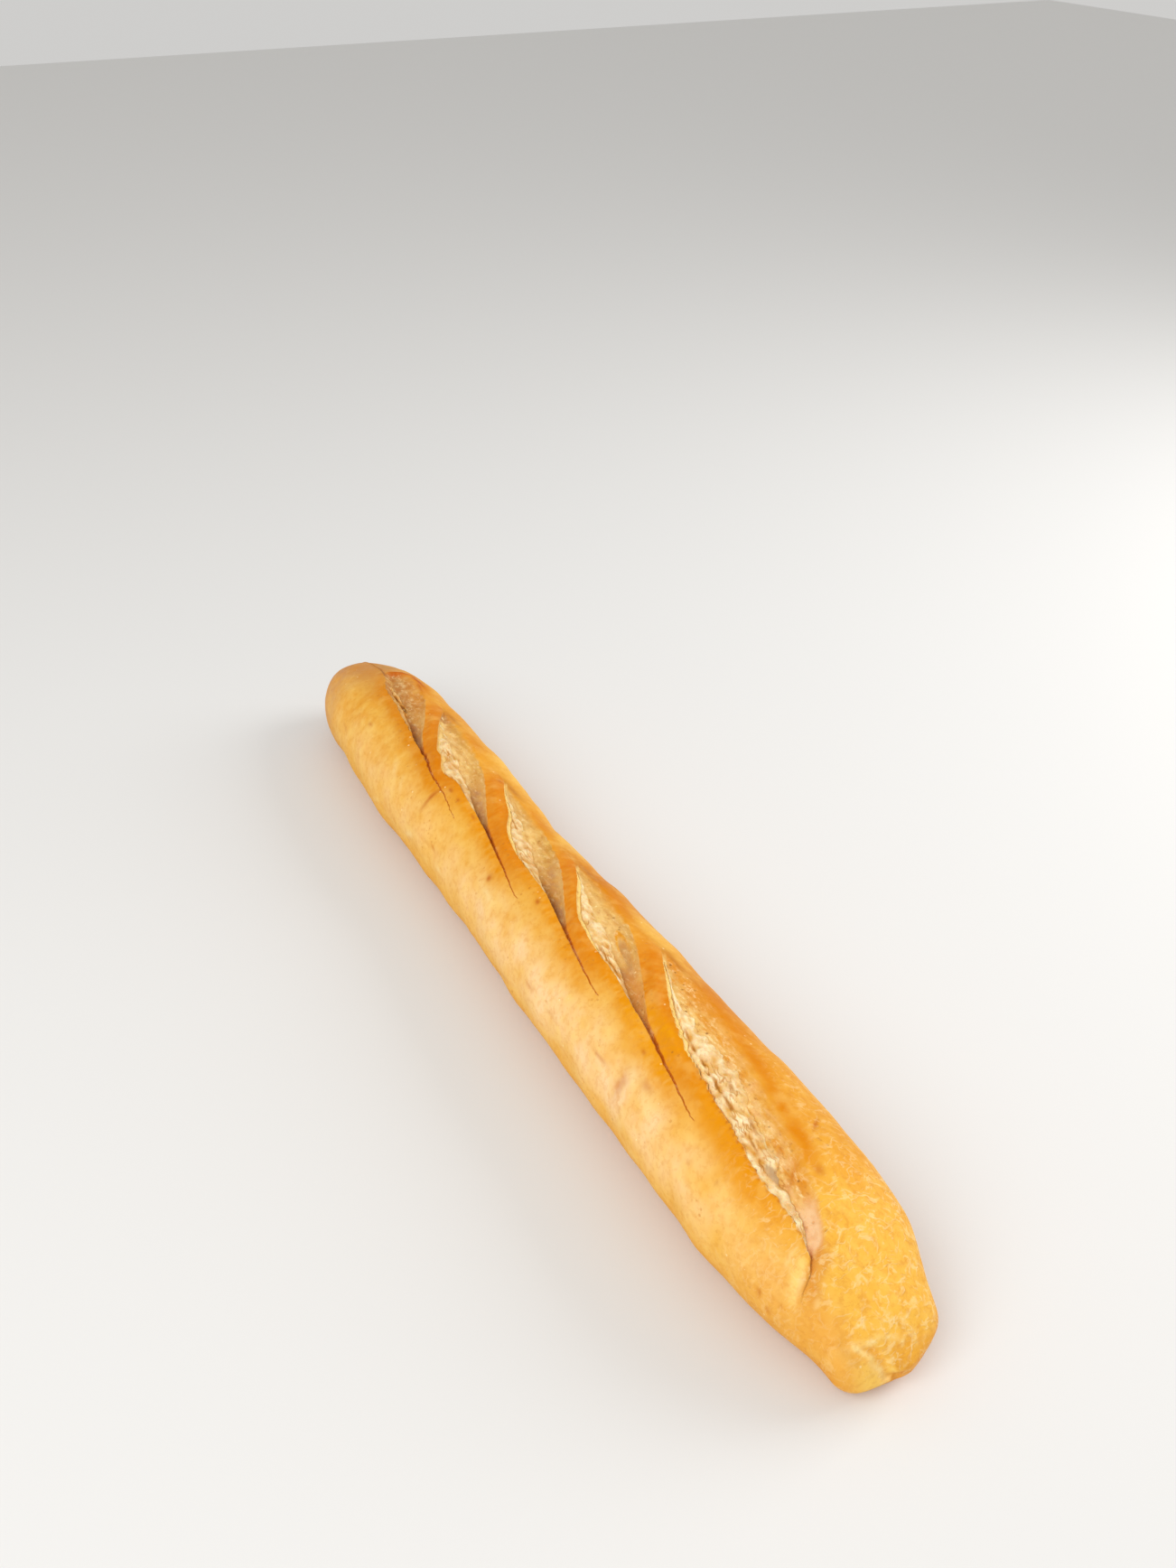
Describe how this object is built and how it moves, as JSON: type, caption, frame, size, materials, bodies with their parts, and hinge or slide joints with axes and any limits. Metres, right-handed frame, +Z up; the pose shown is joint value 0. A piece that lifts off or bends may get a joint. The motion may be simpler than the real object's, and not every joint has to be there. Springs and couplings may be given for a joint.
{
  "type": "baguette",
  "caption": "Long crusty loaf with a flat underside, a round end, a blunt knobbed end and slanting cuts open along its top.",
  "frame": {"origin": "centre of the bounding box in plan, on the surface that the loaf lies on", "axes": "+X along the loaf towards its blunt end, +Y across it towards the flank that the cuts start from, +Z up"},
  "size_m": [0.5404, 0.0736, 0.0601],
  "materials": {
    "crust": "baked golden crust, satin on the flanks, paler and rough inside the cuts"
  },
  "bodies": {
    "root": {"loaf": "crust"}
  },
  "joints": []
}
